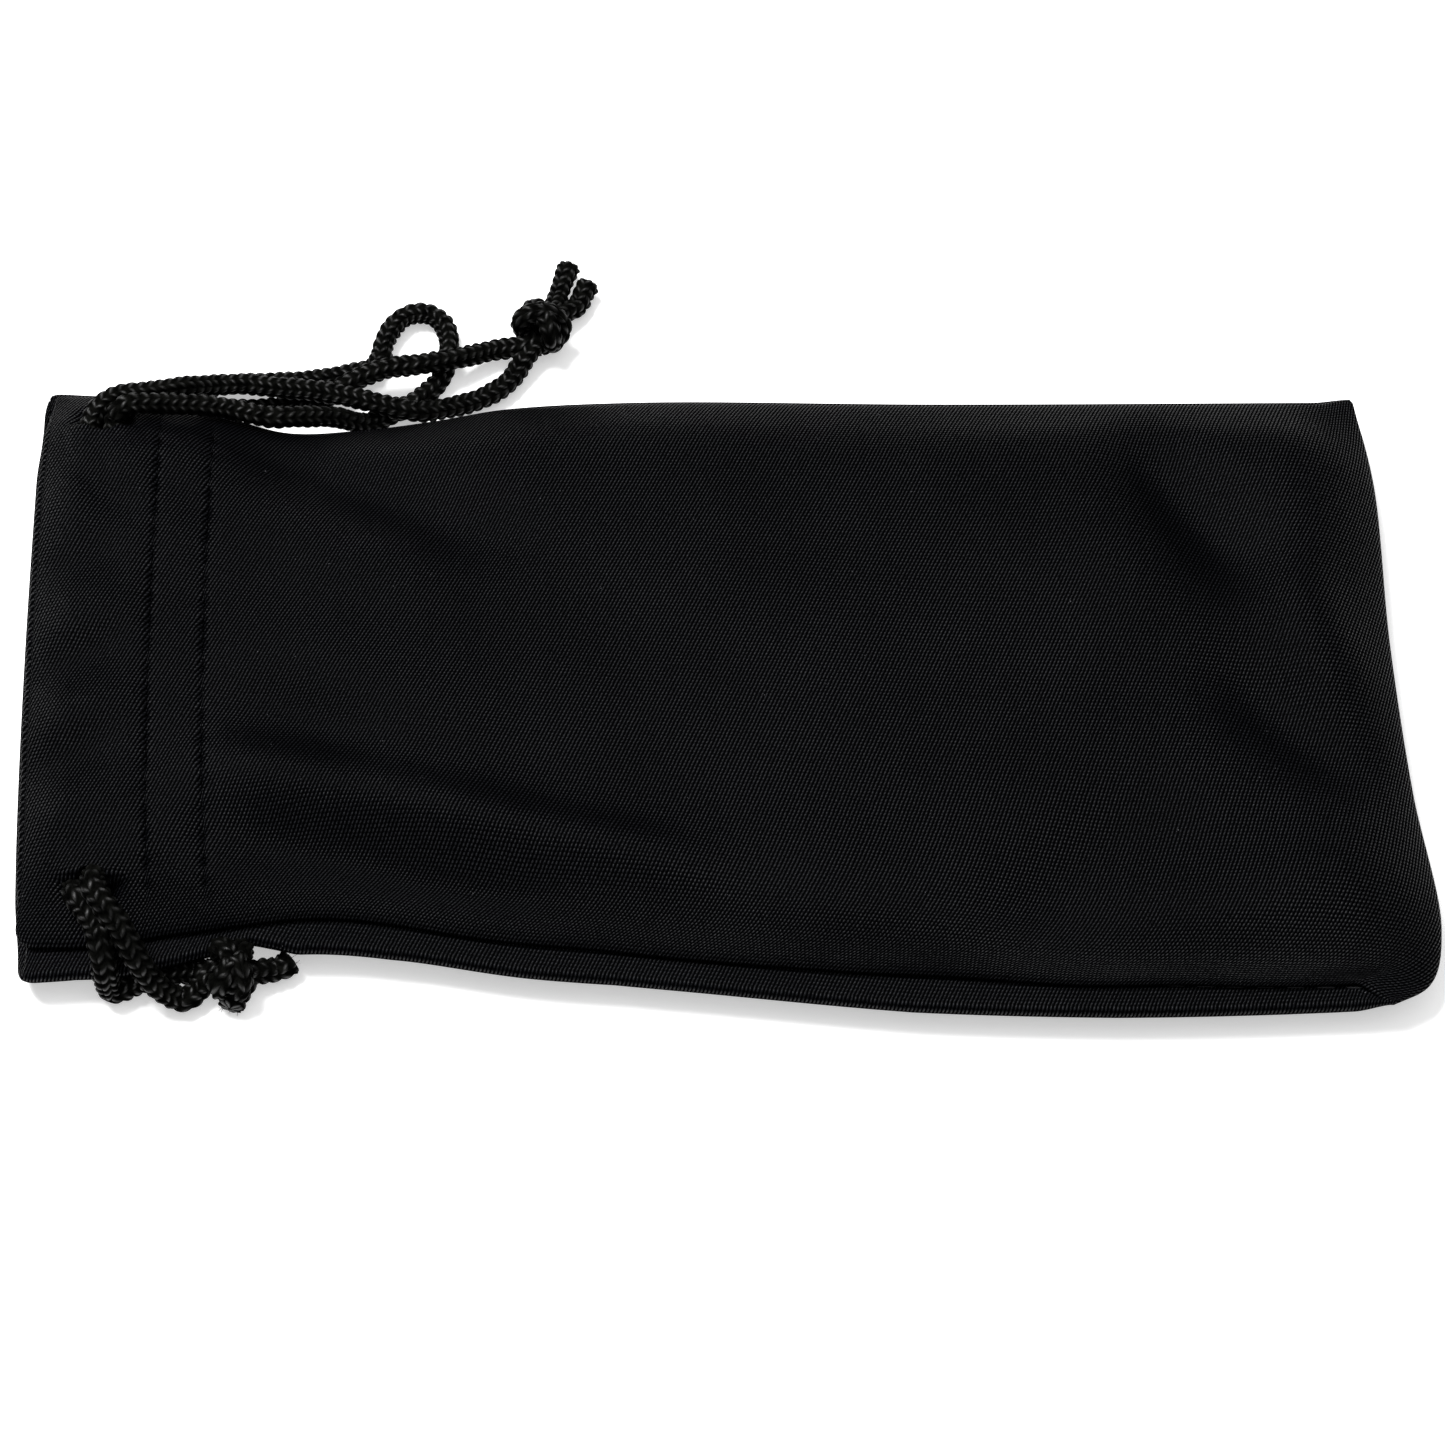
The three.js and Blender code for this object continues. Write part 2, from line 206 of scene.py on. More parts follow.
class Nodes:
    """A material's node tree, with one short call for each kind of node it uses."""

    def __init__(self, name):
        self.material = bpy.data.materials.new(name)
        self.material.use_nodes = True
        self.tree = self.material.node_tree
        self.shader = self.tree.nodes["Principled BSDF"]

    def put(self, socket, value):
        """Links an output to the socket, or sets the socket to a number or a colour."""
        if isinstance(value, bpy.types.NodeSocket):
            self.tree.links.new(value, socket)
        elif isinstance(value, (tuple, list)) and len(value) == 3 and socket.type == "RGBA":
            socket.default_value = (*value, 1)
        else:
            socket.default_value = value

    def node(self, kind, out=0, inputs=(), **settings):
        """Adds a node and returns one of its outputs."""
        made = self.tree.nodes.new(kind)
        for key, value in settings.items():
            setattr(made, key, value)
        for key, value in dict(inputs).items():
            self.put(made.inputs[key], value)
        return made.outputs[out]

    def math(self, kind, a, b=0.0, c=0.0):
        return self.node("ShaderNodeMath", operation=kind, inputs={0: a, 1: b, 2: c})

    def wave(self, x):
        """Turns a phase in whole turns into a wave from 0 to 1."""
        turned = self.math("SINE", self.math("MULTIPLY", x, 2 * math.pi))
        return self.math("MULTIPLY_ADD", turned, 0.5, 0.5)

    def ramp(self, x, low, high, to_low=0.0, to_high=1.0):
        return self.node("ShaderNodeMapRange", inputs={
            "Value": x, "From Min": low, "From Max": high, "To Min": to_low, "To Max": to_high})

    def mix(self, share, a, b):
        a, b = ((*c, 1) if isinstance(c, tuple) else c for c in (a, b))
        return self.node("ShaderNodeMix", out=2, data_type="RGBA", inputs={0: share, 6: a, 7: b})

    def noise(self, where, scale, detail=2.0, out=0):
        return self.node("ShaderNodeTexNoise", out=out, inputs={
            "Vector": where, "Scale": scale, "Detail": detail})

    def bump(self, height, strength, distance):
        return self.node("ShaderNodeBump", inputs={
            "Strength": strength, "Distance": distance, "Height": height})

    def place(self):
        """The place on the mesh's UV map."""
        return self.node("ShaderNodeUVMap", uv_map=UV_MAP)

    def split(self, vector):
        """A vector's first two coordinates."""
        first = self.node("ShaderNodeSeparateXYZ", inputs={0: vector})
        return first, first.node.outputs[1]

    def finish(self, **values):
        """Sets the shader's sockets, with _ for each space in a name, and returns the material."""
        for key, value in values.items():
            self.put(self.shader.inputs[key.replace("_", " ")], value)
        return self.material


# the scales given to noise are features to a metre
TWILL = 0.45 * MM  # from one diagonal rib to the next
FLOAT = 0.48 * MM  # length of one stitch of the weave along the pouch's width
TWILL_ANGLE = math.radians(64)
RIB_SHARPNESS = 2.4
WOBBLE = 0.12 * MM  # how far a yarn strays from its line
CLOTH_SHADOW = (0.0003, 0.0003, 0.0004)
CLOTH_LIGHT = (0.0074, 0.0080, 0.0099)
CLOTH_SHINE = 0.17
CLOTH_RELIEF = 0.11 * MM
LINT = (0.06, 0.06, 0.065)


def cloth_material():
    """Black twill: ribs of short floats among fine fibres, with faint patches and specks of lint. The ribs
    are painted lighter on their tops with painted shade in the gaps between them, and the cloth has painted
    shade where it turns away from the camera.
    """
    n = Nodes("microfibre_twill")
    uv = n.place()
    stray = n.noise(uv, 900, 2, out=1)
    at = n.node("ShaderNodeVectorMath", operation="MULTIPLY_ADD",
                inputs={0: stray, 1: (WOBBLE, WOBBLE, 0), 2: uv})
    x, y = n.split(at)
    rib = n.wave(n.math("ADD", n.math("MULTIPLY", x, math.sin(TWILL_ANGLE) / TWILL),
                        n.math("MULTIPLY", y, -math.cos(TWILL_ANGLE) / TWILL)))
    yarn = n.wave(n.math("MULTIPLY", y, 1 / FLOAT))
    weave = n.math("MULTIPLY", n.math("POWER", rib, RIB_SHARPNESS),
                   n.math("MULTIPLY_ADD", yarn, 0.8, 0.2))
    fibre = n.noise(uv, 4200, 3)
    height = n.math("MULTIPLY_ADD", fibre, 0.35, weave)
    facing = n.node("ShaderNodeLayerWeight", out=1)
    painted_edge_shade = n.ramp(facing, 0.2, 0.75, to_low=1.0, to_high=0.25)  # painted shade: colour and shine fall off where the cloth turns away from the camera
    # painted light and shade: the weave makes the colour lighter on the ribs' tops and darker in the gaps
    # between them; the fibre and patch noise is the cloth's own uneven tone
    shade = n.math("MULTIPLY", n.math("MULTIPLY", weave, painted_edge_shade),
                   n.ramp(fibre, 0.32, 0.68, to_low=0.25, to_high=1.7))
    patches = n.ramp(n.noise(uv, 45, 3), 0.3, 0.7, to_low=0.85, to_high=1.15)
    shade = n.math("MULTIPLY", shade, patches)
    specks = n.ramp(n.noise(uv, 1900, 1), 0.80, 0.83)
    colour = n.mix(specks, n.mix(shade, CLOTH_SHADOW, CLOTH_LIGHT), LINT)
    return n.finish(Base_Color=colour,
                    Roughness=n.ramp(fibre, 0.3, 0.7, to_low=0.36, to_high=0.5),
                    Normal=n.bump(height, 0.75, CLOTH_RELIEF),
                    Specular_IOR_Level=n.math("MULTIPLY", shade, CLOTH_SHINE))


CORD_SHADOW = (0.0003, 0.0003, 0.0003)
CORD_LIGHT = (0.0038, 0.0039, 0.0034)
CORD_GLINT = 0.42
CREST_SHARPNESS = 9.0
FILAMENT_RELIEF = 0.08 * MM


def cord_material():
    """Black cord of smooth filaments, which glint on the crest of each knitted loop."""
    n = Nodes("knitted_cord")
    uv = n.place()
    stretched = n.node("ShaderNodeVectorMath", operation="MULTIPLY",
                       inputs={0: uv, 1: (3.0, 0.5, 1.0)})
    filament = n.noise(stretched, 5200, 3)
    tone = n.noise(uv, 700, 2)
    light = n.ramp(n.math("ADD", filament, tone), 0.75, 1.3)
    x, y = n.split(uv)
    wale = n.math("FRACT", n.math("MULTIPLY", x, WALES / (math.pi * CORD_D)))
    across = n.math("ABSOLUTE", n.math("MULTIPLY_ADD", wale, 2.0, -1.0))
    loop = n.math("MULTIPLY_ADD", y, 1 / LOOP, n.math("MULTIPLY", across, LEAN))
    crest = n.math("ABSOLUTE", n.math("SINE", n.math("MULTIPLY", loop, math.pi)))
    crest = n.math("POWER", crest, CREST_SHARPNESS)
    arm = n.math("SINE", n.math("MULTIPLY", across, math.pi))
    lit = n.ramp(n.noise(uv, 700, 1), 0.35, 0.65, to_low=0.3, to_high=1.0)
    glint = n.math("MULTIPLY", n.math("MULTIPLY", crest, arm), n.math("MULTIPLY", lit, CORD_GLINT))
    return n.finish(Base_Color=n.mix(light, CORD_SHADOW, CORD_LIGHT),
                    Roughness=n.ramp(tone, 0.3, 0.7, to_low=0.34, to_high=0.5),
                    Normal=n.bump(filament, 0.7, FILAMENT_RELIEF),
                    Specular_IOR_Level=glint)


PLY = (2200, 1500)  # turns of the thread's twist in a metre, round it and along it
PLY_RELIEF = 0.05 * MM


def thread_material():
    """Twisted black sewing thread, painted lighter on the tops of its twist and with painted shade in its
    grooves.
    """
    n = Nodes("sewing_thread")
    x, y = n.split(n.place())
    twist = n.wave(n.math("ADD", n.math("MULTIPLY", x, PLY[0]), n.math("MULTIPLY", y, PLY[1])))
    # painted shade: the colour is darker in the grooves of the twist and lighter on its tops
    return n.finish(Base_Color=n.mix(twist, (0.002, 0.002, 0.0025), (0.012, 0.012, 0.014)),
                    Roughness=n.ramp(twist, 0, 1, to_low=0.6, to_high=0.45),
                    Normal=n.bump(twist, 0.6, PLY_RELIEF), Specular_IOR_Level=0.3)


CLOTH = cloth_material()
CORD = cord_material()
THREAD = thread_material()

# ---- cords --------------------------------------------------------------------------------------

RING = 0.13 * MM  # from one ring of a cord's points to the next
AROUND = 54  # points in a ring
CHANNEL_PIECE = 14 * MM  # the start of each strand, which lies in the pouch's channel
FLATTENED = 0.38  # share of its height that a cord loses in the channel
CUT_SPREAD = 0.16  # share by which a cut end is wider
CUT_SPREAD_FROM = 2.5 * MM  # length of cord over which it widens
START_CLOSES, CUT_CLOSES = 0.8, 0.35  # the two ends close over this many radii
ON_TABLE = 1.15  # a cord's line stays this many radii up


def frames_along(points):
    """For each point, two directions across the line, which turn as little as they can."""
    tangent = np.gradient(points, axis=0)
    tangent /= np.linalg.norm(tangent, axis=1)[:, None]
    first = np.cross(tangent[0], (0, 0, 1.0))
    side = [first / np.linalg.norm(first)]
    for t in tangent[1:]:
        s = side[-1] - t * side[-1].dot(t)
        side.append(s / np.linalg.norm(s))
    side = np.array(side)
    return side, np.cross(tangent, side)


def yarn_height(s, turn):
    """Height of the knit, from 0 to 1, a distance s along the cord: V-shaped loops in columns."""
    wale = (turn * WALES / (2 * math.pi)) % 1.0
    across = np.abs(2 * wale - 1)  # 1 between two columns, 0 in the middle of a column
    loop = (s / LOOP + LEAN * across) % 1.0
    arms = BETWEEN_COLUMNS + (1 - BETWEEN_COLUMNS) * np.sin(math.pi * across) ** YARN_ROUNDNESS
    uneven = 1 - UNEVEN + UNEVEN * np.sin(s / LOOP * 1.7 + turn * 2)
    return np.sin(math.pi * loop) ** YARN_ROUNDNESS * arms * uneven


def knitted(name, route, flat_to, radius):
    """A knitted cord along a route, flattened up to `flat_to`, as geometry. Its start in the channel
    is a piece of its own. Returns that piece, the rest, and the rest's middle line."""
    total = line_length(spline(route, 400))
    rings = int(total / RING)
    centre = spline(route, rings)
    centre[:, 2] = np.maximum(centre[:, 2], ON_TABLE * radius)
    side, up = frames_along(centre)
    s = np.linspace(0, total, rings)[:, None]
    turn = np.linspace(0, 2 * math.pi, AROUND, endpoint=False)[None, :]
    r = radius * (CORE + YARN * yarn_height(s, turn))
    end = np.minimum(s / START_CLOSES, (total - s) / CUT_CLOSES) / radius
    r = r * np.sqrt(np.clip(1 - (1 - np.clip(end, 0, 1)) ** 2, 0.02, 1))
    r = r * (1 + CUT_SPREAD * smooth(s, total - CUT_SPREAD_FROM, total))
    height = 1 - FLATTENED * (1 - smooth(s, flat_to - 3 * MM, flat_to))
    a = r * np.cos(turn)
    b = r * np.sin(turn) * height
    verts = centre[:, None, :] + a[:, :, None] * side[:, None, :] + b[:, :, None] * up[:, None, :]
    around = np.broadcast_to(turn * CORD_D / 2, a.shape)
    uv = np.stack([around, np.broadcast_to(s, a.shape)], axis=-1)
    cut = int(CHANNEL_PIECE / total * (rings - 1))
    made = []
    for label, chosen in ((f"{name}_in_channel", slice(0, cut + 1)), (name, slice(cut, rings))):
        count = len(centre[chosen])
        obj = new_object(label, verts[chosen].reshape(-1, 3), grid_faces(count, AROUND, wrap=True),
                         uv[chosen].reshape(-1, 2))
        close_ends(obj, count)
        obj.data.materials.append(CORD)
        made.append(obj)
    return *made, centre[cut:]


def close_ends(obj, rings):
    """Closes a tube's two ends with one face each."""
    made = bmesh.new()
    made.from_mesh(obj.data)
    made.verts.ensure_lookup_table()
    last = (rings - 1) * AROUND
    made.faces.new([made.verts[i] for i in range(AROUND)][::-1])
    made.faces.new([made.verts[last + i] for i in range(AROUND)])
    made.to_mesh(obj.data)
    made.free()


# routes of the loose cords: the hidden points run inside the channel, the rest follow the part's
A_FRONT_HIDDEN = [(-82.7, -1, 10), (-82.7, 12, 10), (-82.7, 25, 10)]
A_FRONT = [
    (-82.7, 34.9, 10.1), (-82.7, 37.2, 10.2), (-81.4, 40, 10.5), (-78.6, 41.8, 10.2), (-75.2, 42.6, 9.6),
    (-71.5, 44.1, 8.4), (-67.4, 45.9, 6.2), (-63.1, 46.6, 5.4), (-58.7, 46.2, 5.1), (-54.2, 45.8, 5.1),
    (-48.9, 44.9, 4.8), (-45.2, 44, 4.6), (-41.9, 43.3, 4.2), (-39.6, 43.3, 3.6), (-37.2, 44.2, 2.8),
    (-33.8, 45.6, 2), (-30.3, 47.4, 1.6), (-28.1, 49.2, 1.6), (-26.2, 51, 2)]
A_BACK_HIDDEN = [(-79.6, 1, 10), (-79.6, 13, 10), (-79.6, 26, 10), (-79.6, 35.4, 10)]
A_BACK = [
    (-79.5, 37.7, 10.6), (-78.8, 38.3, 11.8), (-77.4, 38.9, 12.2), (-75, 39.3, 11.8),
    (-72.3, 39.8, 10.9), (-68.5, 40.2, 10), (-65.4, 40.3, 9.2), (-59.1, 39, 8.9),
    (-55.9, 39.6, 8.1), (-51, 41.3, 5.4), (-46.8, 42.4, 2.2), (-43, 44.6, 1.5), (-40, 46.6, 1.5),
    (-37.4, 49.6, 1.5), (-36.4, 53.2, 1.5), (-36.3, 56.2, 1.5), (-37.2, 58.9, 1.5), (-39, 60.4, 1.5),
    (-41, 60.6, 1.5), (-42.8, 59.8, 1.5), (-44.2, 58, 1.5), (-45.2, 55.4, 1.5), (-45.5, 53.4, 1.5),
    (-46.5, 51.7, 1.5), (-48.8, 50.9, 1.5), (-55, 49.6, 1.5), (-65, 49, 1.5), (-68.2, 48.6, 1.5),
    (-69.6, 46.9, 1.5), (-68.4, 45, 1.5), (-65.2, 44.8, 1.6), (-55.8, 45.6, 1.7), (-52, 47.2, 1.9),
    (-49, 48.4, 3.4), (-44.6, 49.6, 4.6), (-40, 50.2, 4.8), (-35.2, 51.8, 3.8), (-30.6, 54, 2.4),
    (-28, 55.2, 2.4)]
A_TAIL_1 = [(-22.2, 60.6, 2.6), (-21.6, 63, 1.8), (-20.8, 66, 1.5), (-20, 68.6, 1.5)]
A_TAIL_2 = [(-19.4, 59.8, 2.4), (-18.8, 61.8, 1.8), (-18, 63.8, 1.5), (-17.2, 65.6, 1.5)]
B_FRONT_HIDDEN = [(-76.5, 10, 10), (-76.5, -5, 10), (-76.5, -20, 10)]
B_FRONT = [
    (-76.5, -29.1, 10.4), (-76.6, -30, 10.8), (-77, -31.2, 12.2), (-76.9, -32.7, 13.2), (-76, -34.2, 13.2),
    (-74.8, -35.9, 12.6), (-73.6, -37.2, 11.6), (-72.5, -39, 10.2), (-71.4, -40.6, 8.4), (-70.3, -41.8, 6.2),
    (-69.2, -42.5, 4.4), (-67.8, -42.9, 2.8), (-65.9, -43, 1.8), (-64, -42.6, 1.6)]
B_BACK_HIDDEN = [(-79.6, 4, 10), (-79.6, -10, 10), (-79.6, -24, 10), (-79.6, -30.6, 9.9)]
B_BACK = [
    (-79.5, -32.8, 10.5), (-78.9, -33.6, 10.8), (-78.1, -34.5, 10.7), (-77.3, -35.7, 10.6),
    (-76.6, -37, 10.2), (-76.1, -38.5, 9.8), (-75.8, -40, 8.9), (-75.6, -41.2, 7.4), (-75.6, -41.7, 5.6),
    (-75.6, -41.8, 3.6), (-75.4, -41.9, 2.1), (-74.4, -41.8, 1.5), (-72.9, -41.1, 1.5), (-70.7, -40.3, 1.5),
    (-68.4, -39.6, 1.5), (-66.2, -39.3, 1.5), (-64.3, -39.5, 1.8)]
B_TAIL_1 = [(-60, -43.1, 2.2), (-60.2, -43.7, 1.8), (-60.4, -44.4, 1.5)]
B_TAIL_2 = [(-55.3, -39.6, 2.2), (-54.1, -38.6, 1.7), (-52.9, -37.6, 1.5)]

KNOT_A = (-22.7, 56.2, 4.2)
KNOT_B = (-60.3, -40.9, 3.9)

# a cord's line inside a knot: (along, across, up) from the knot's middle, in cord radii
KNOT_TURNS = [(-1.7, -0.4, -0.9), (-0.4, -1.6, -0.9), (0.9, -1.8, 0.3), (0.9, -0.7, 1.5),
              (0.1, 0.7, 1.7), (-0.8, 1.7, 0.9), (-0.7, 1.5, -0.7), (0.4, 0.5, -1.2), (1.6, 0.1, -0.9)]
KNOT_SHIFT = 0.75  # the knot's middle is this far across from the given one, in cord radii
SECOND_RISE = 0.9  # the second strand's line is this much lower


def through_knot(middle, heading, second):
    """A strand's line inside a knot. The second strand takes the first one's line, mirrored."""
    along = Vector(heading).normalized()
    up = Vector((0, 0, 1))
    across = up.cross(along) * (-1 if second else 1)
    shift = -KNOT_SHIFT if second else KNOT_SHIFT
    rise = SECOND_RISE if second else 1
    r = CORD_D / 2 / MM
    return [tuple(Vector(middle) + r * (a * along + (b + shift) * across + c * up * rise))
            for a, b, c in KNOT_TURNS]


FRAY_SIDES = 4
FRAY_STEPS = 6
FRAY_RADIUS = 1.1 * MM  # the filaments start within this of the cord's middle
FRAY_BACK = 0.5 * MM  # and this far inside its cut end
FRAY_FAN = (0.1, 0.55)
FRAY_REACH = (0.6, 1.3)
FRAY_THICK = (0.035, 0.06)
FRAY_BEND = 0.25
FRAY_SEED = 7


def frayed(name, tip, heading, count, seed):
    """Fine filaments that fan out of a cut cord end."""
    rng = np.random.default_rng(seed)
    heading = np.array(Vector(heading).normalized())
    side = np.cross(heading, (0, 0, 1.0))
    up = np.cross(side, heading)
    verts, faces, uv = [], [], []
    for _ in range(count):
        turn = rng.uniform(0, 2 * math.pi)
        out = math.sqrt(rng.uniform(0.2, 1)) * FRAY_RADIUS
        outward = math.cos(turn) * side + math.sin(turn) * up
        base = np.array(tip) - heading * FRAY_BACK + out * outward
        aim = heading + rng.uniform(*FRAY_FAN) * outward
        reach = rng.uniform(*FRAY_REACH) * MM
        bend = rng.normal(0, FRAY_BEND, 3)
        thick = rng.uniform(*FRAY_THICK) * MM
        first = len(verts)
        for k in range(FRAY_STEPS):
            t = k / (FRAY_STEPS - 1)
            at = base + aim * reach * t + bend * reach * t * t
            at[2] = max(at[2], 0.08 * MM)  # clear of the table
            for m in range(FRAY_SIDES):
                angle = 2 * math.pi / FRAY_SIDES * m
                verts.append(at + thick * (1 - 0.5 * t) * (math.cos(angle) * side + math.sin(angle) * up))
                uv.append((m * thick, t * reach))
        faces += (grid_faces(FRAY_STEPS, FRAY_SIDES, wrap=True)+ first).tolist()
        last = first + FRAY_SIDES * (FRAY_STEPS - 1)
        faces.append([first + m for m in range(FRAY_SIDES)][::-1])
        faces.append([last + m for m in range(FRAY_SIDES)])
    obj = new_object(name, verts, faces, uv)
    obj.data.materials.append(CORD)
    return obj


def add_cord(letter, strands, knot, heading, radius, filaments):
    """One cord's loose part: two strands, each through the knot to its own cut tail."""
    body = f"cord_{letter}"
    for index, (strand, hidden, loose, tail) in enumerate(strands):
        turns = through_knot(knot, heading, second=index == 1)
        route = np.array(hidden + loose[:-1] + turns + tail[1:]) * MM
        in_channel, piece, centre = knitted(f"{body}_{strand}", route, radius=radius,
                                            flat_to=line_length(route[:len(hidden) + 1]))
        tip, before = np.array(tail[-1]) * MM, np.array(tail[-2]) * MM
        tail_name = f"{body}_tail_{index + 1}"
        fray = frayed(f"{tail_name}_fray", tip, tip - before, filaments, FRAY_SEED + index)
        for part in (in_channel, piece, fray):
            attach(part, body)
        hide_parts(f"{body}_{strand}_strand", f"{body}_{strand}_run", tail_name)
    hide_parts(f"{body}_knot", f"{body}_bight", f"{body}_turn")


add_cord("a", [("front", A_FRONT_HIDDEN, A_FRONT, A_TAIL_1), ("back", A_BACK_HIDDEN, A_BACK, A_TAIL_2)],
         KNOT_A, heading=(0.5, 0.86, 0), radius=1.10 * CORD_D / 2, filaments=34)
add_cord("b", [("front", B_FRONT_HIDDEN, B_FRONT, B_TAIL_1), ("back", B_BACK_HIDDEN, B_BACK, B_TAIL_2)],
         KNOT_B, heading=(1, 0.05, 0), radius=1.22 * CORD_D / 2, filaments=5)

# ---- cloth: one strip, folded at the closed end, sewn up both sides and turned in at the mouth ---

LAYER = 0.45 * MM  # thickness of the cloth
LIP = 0.9 * MM  # how far the face swells beside each side seam
LIP_REACH = 6 * MM
ALLOWANCE = 6 * MM  # cloth beyond each side seam, turned inside
ALLOWANCE_Z = 0.25 * MM  # half the gap between the two allowances
FRONT_INSET = 2.3 * MM  # the front's near side sits this far inside the back's
FAR_INSET = 0.6  # and its far side this share of that
HEM_INSET = 0.8 * MM  # the turned-in hem sits this far inside the face
BACK_MOUTH_IN = 0.6 * MM
# how far the back stands out past the near edge, along it
BACK_BULGE = [(-88, 1.8), (-80, 1.3), (-74, 1.5), (-67, 1.1), (-61.5, 0.3), (-58, -0.4), (-52, 1.6),
              (-40, 1.8), (-12, 1.1), (25, 1.7), (50, 1.4), (70, 0.8), (86, 0.2)]
# how far the front's mouth edge sits back from the back's outline, across it
MOUTH_IN = [(0, 0.2), (6, 1.2), (16, 1.9), (45, 1.9), (70, 2.1), (86, 2.6)]
MOUTH_CORNER = 2.6 * MM
SPLIT_Y = 3 * MM  # the stitches round the mouth go with the near half below this y, and with the far half above it


def edge_line(points):
    return spline(np.array(points, float) * MM, 600)


NEAR, FAR, MOUTH, END = (edge_line(e) for e in (NEAR_EDGE, FAR_EDGE, MOUTH_EDGE, END_EDGE))
LENGTH = (line_length(NEAR) + line_length(FAR)) / 2
WIDTH = (line_length(MOUTH) + line_length(END)) / 2


def along_line(line, share):
    at = np.linspace(0, 1, len(line))
    return np.stack([np.interp(share, at, line[:, k]) for k in (0, 1)], axis=-1)


def rounded(u, v):
    """The same shares, with the two corners of the mouth rounded off."""
    along, across = MOUTH_CORNER / LENGTH, MOUTH_CORNER / WIDTH
    a = np.clip(1 - u / along, 0, 1)
    b = np.maximum(np.clip(1 - v / across, 0, 1), np.clip(1 - (1 - v) / across, 0, 1))
    u = u + along * a * (1 - np.sqrt(1 - b * b / 2))
    inward = across * b * (1 - np.sqrt(1 - a * a / 2))
    return u, np.where(v < 0.5, v + inward, v - inward)


def plan(u, v):
    """Where a point lies from above, for a share u from mouth to closed end and v from near to far."""
    u, v = rounded(u, v)
    ends = along_line(NEAR, u) * (1 - v)[..., None] + along_line(FAR, u) * v[..., None]
    sides = along_line(MOUTH, v) * (1 - u)[..., None] + along_line(END, v) * u[..., None]
    near_row = NEAR[0] * (1 - u)[..., None] + NEAR[-1] * u[..., None]
    far_row = FAR[0] * (1 - u)[..., None] + FAR[-1] * u[..., None]
    return ends + sides - near_row * (1 - v)[..., None] - far_row * v[..., None]


def round_rise(distance, reach):
    """0 at an edge and 1 beyond its reach, and upright at the edge itself, as a filled bag is."""
    t = np.clip(distance / reach, 0, 1)
    return 0.6 * np.sin(math.pi / 2 * t) + 0.4 * np.sqrt(np.clip(1 - (1 - t) ** 2, 0, 1))


FOLD_DEPTH = 2.2  # the heights of all folds are multiplied by this
FOLD_FADE = 0.35  # share of a fold's length over which it fades at each end
MOUTH_FOLD_SHARE = 0.5
FRONT_FOLDS = [  # start, end, width, height
    ((-62, -15), (-30, -23), 5.0, 1.1), ((-34, -22), (-2, -30), 4.2, 1.0),
    ((-62, -25), (-38, -29), 5.0, -1.3), ((-40, -31), (-20, -34), 3.5, -0.9),
    ((-64, 35), (-44, 25), 5.5, -1.2), ((-44, 26), (-26, 17), 6.0, -0.9),
    ((-60, 22), (-38, 12), 7.0, 0.5), ((-60, 4), (-30, -10), 8.0, 0.6),
    ((-62, -6), (-44, -12), 5.0, -0.5),
    ((56, 33), (70, 12), 6.5, -1.4), ((48, 26), (60, 6), 8.0, 0.5),
    ((67, -2), (82, -18), 6.0, -1.3), ((74, 14), (82, -2), 5.0, 0.6),
    ((36, -38), (56, -22), 7.0, -0.9), ((58, -40), (80, -30), 6.0, 0.7),
    ((8, -36), (40, -40), 5.0, 0.4), ((-8, 30), (30, 36), 7.0, -0.35),
]
MOUTH_FOLDS = [
    ((-86, 33), (-76, 22), 3.0, -0.9), ((-87, 22), (-75, 30), 3.5, 0.5),
    ((-86, 12), (-78, 17), 3.2, -0.8), ((-84, 4), (-76, 9), 3.0, 0.5),
    ((-86, -3), (-77, 3), 3.4, -0.9), ((-85, -10), (-75, -5), 3.0, 0.6),
    ((-86, -17), (-77, -12), 3.4, -0.8), ((-84, -23), (-74, -20), 3.0, 0.5),
    ((-72, 28), (-66, 20), 2.5, -0.4), ((-72, 4), (-66, 10), 2.6, -0.35),
    ((-72, -16), (-66, -9), 2.6, -0.4), ((-71, -26), (-66, -22), 2.4, 0.3),
]


def fold(x, y, start, end, width, height):
    """A ridge, or a hollow where height is negative, that runs from start to end and fades at both."""
    (x0, y0), (x1, y1) = np.array(start) * MM, np.array(end) * MM
    reach = math.hypot(x1 - x0, y1 - y0)
    dx, dy = (x1 - x0) / reach, (y1 - y0) / reach
    along = ((x - x0) * dx + (y - y0) * dy) / reach
    off = (x - x0) * -dy + (y - y0) * dx
    fade = smooth(along, -FOLD_FADE, FOLD_FADE) * (1 - smooth(along, 1 - FOLD_FADE, 1 + FOLD_FADE))
    return height * FOLD_DEPTH * MM * fade * np.exp(-((off / (width * MM)) ** 2))


def low_noise(x, y, size, seed):
    """Smooth random height from about -1 to 1, with features of that size in metres."""
    flat = np.column_stack([np.ravel(x), np.ravel(y)]) / size
    return np.array([noise.noise(Vector((a, b, seed))) for a, b in flat]).reshape(np.shape(x))


STITCH_PITCH = 3.7 * MM
STITCH_GROOVE = 0.45 * MM  # half width of the groove under a row of stitches
STITCH_PUCKER = 1.6 * MM  # half width of the cloth that a row draws down


